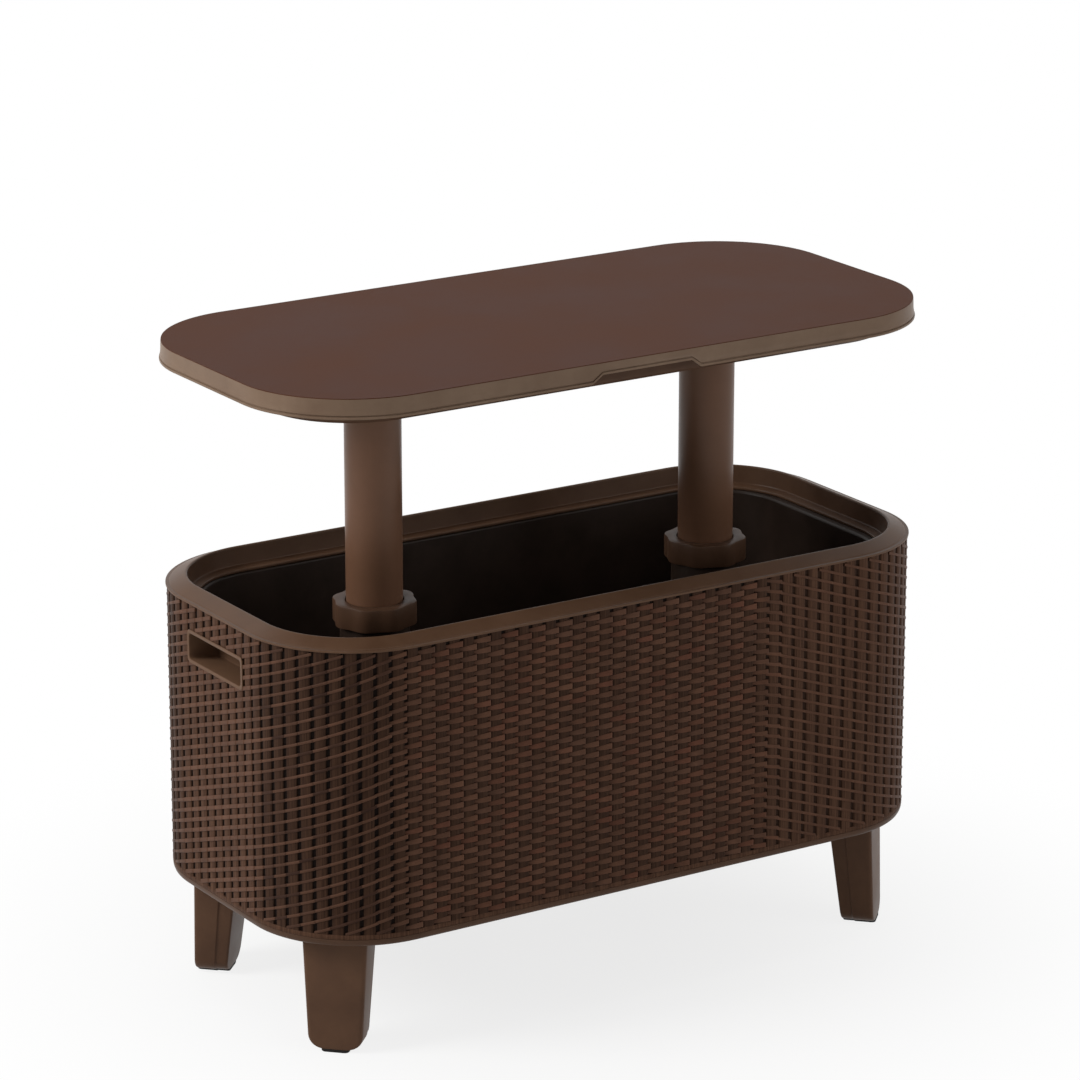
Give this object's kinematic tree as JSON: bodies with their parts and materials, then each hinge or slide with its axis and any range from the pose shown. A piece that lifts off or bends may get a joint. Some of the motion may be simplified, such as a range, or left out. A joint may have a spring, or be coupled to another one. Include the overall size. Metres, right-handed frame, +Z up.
{
  "type": "ice bucket coffee table",
  "caption": "Oblong insulated ice tub on short splayed legs, moulded as basket weave, with a round-cornered lid that lifts on posts to become a bar table over the open tub.",
  "frame": {"origin": "on the ground, in plan at the middle of the tub", "axes": "X along the tub's length, -Y is the front, +Z up"},
  "size_m": [0.832, 0.409, 0.7306],
  "materials": {
    "woven_brown": "moulded basket weave, dark brown",
    "smooth_brown": "smooth, semi-matte brown",
    "top_brown": "fine-grained brown",
    "black_plastic": "smooth, near black",
    "grey_plastic": "slippery grey bearing plastic",
    "foam": "pale closed-cell foam",
    "rubber": "black rubber",
    "steel": "zinc-plated steel"
  },
  "bodies": {
    "tub": {"base_pan": "smooth_brown", "outer_shell": "woven_brown", "rim_collar": "smooth_brown", "inner_liner": "black_plastic", "insulation_sleeve": "foam", "insulation_floor": "foam", "handle_cup_left": "smooth_brown", "handle_cup_right": "smooth_brown", "leg_front_left": "smooth_brown", "leg_front_right": "smooth_brown", "leg_rear_right": "smooth_brown", "leg_rear_left": "smooth_brown", "foot_pad_front_left": "rubber", "foot_pad_front_right": "rubber", "foot_pad_rear_right": "rubber", "foot_pad_rear_left": "rubber", "leg_bolt_front_left": "steel", "leg_bolt_front_right": "steel", "leg_bolt_rear_right": "steel", "leg_bolt_rear_left": "steel", "post_guide_left": "black_plastic", "post_guide_right": "black_plastic", "guide_seal_left": "rubber", "guide_seal_right": "rubber", "guide_bush_left": "grey_plastic", "guide_bush_right": "grey_plastic", "guide_screw_left_1": "steel", "guide_screw_left_2": "steel", "guide_screw_left_3": "steel", "guide_screw_right_1": "steel", "guide_screw_right_2": "steel", "guide_screw_right_3": "steel", "drain_pipe": "black_plastic", "drain_seal": "rubber", "drain_nut": "smooth_brown"},
    "lid": {"lid_top": "top_brown", "lid_under_panel": "smooth_brown", "lid_insulation": "foam", "lid_gasket": "rubber", "lid_screw_1": "steel", "lid_screw_2": "steel", "lid_screw_3": "steel", "lid_screw_4": "steel", "lid_screw_5": "steel", "lid_screw_6": "steel", "post_left": "smooth_brown", "post_right": "smooth_brown", "post_foot_left": "black_plastic", "post_foot_right": "black_plastic", "post_screw_left_1": "steel", "post_screw_left_2": "steel", "post_screw_right_1": "steel", "post_screw_right_2": "steel"},
    "lock_left": {"lock_collar_left": "smooth_brown"},
    "lock_right": {"lock_collar_right": "smooth_brown"},
    "drain_plug": {"drain_plug": "smooth_brown", "drain_plug_seal": "rubber"}
  },
  "joints": [
    {"name": "lid_lift", "type": "slide", "parent": "tub", "child": "lid", "axis": [0, 0, 1], "range_m": [-0.2483, 0]},
    {"name": "lock_left_turn", "type": "hinge", "parent": "tub", "child": "lock_left", "pos_m": [-0.2168, 0, 0.432], "axis": [0, 0, 1], "range_deg": [0, 60]},
    {"name": "lock_right_turn", "type": "hinge", "parent": "tub", "child": "lock_right", "pos_m": [0.2168, 0, 0.432], "axis": [0, 0, 1], "range_deg": [0, 60]},
    {"name": "drain_plug_pull", "type": "slide", "parent": "tub", "child": "drain_plug", "axis": [0, 0, -1], "range_m": [0, 0.032]}
  ]
}
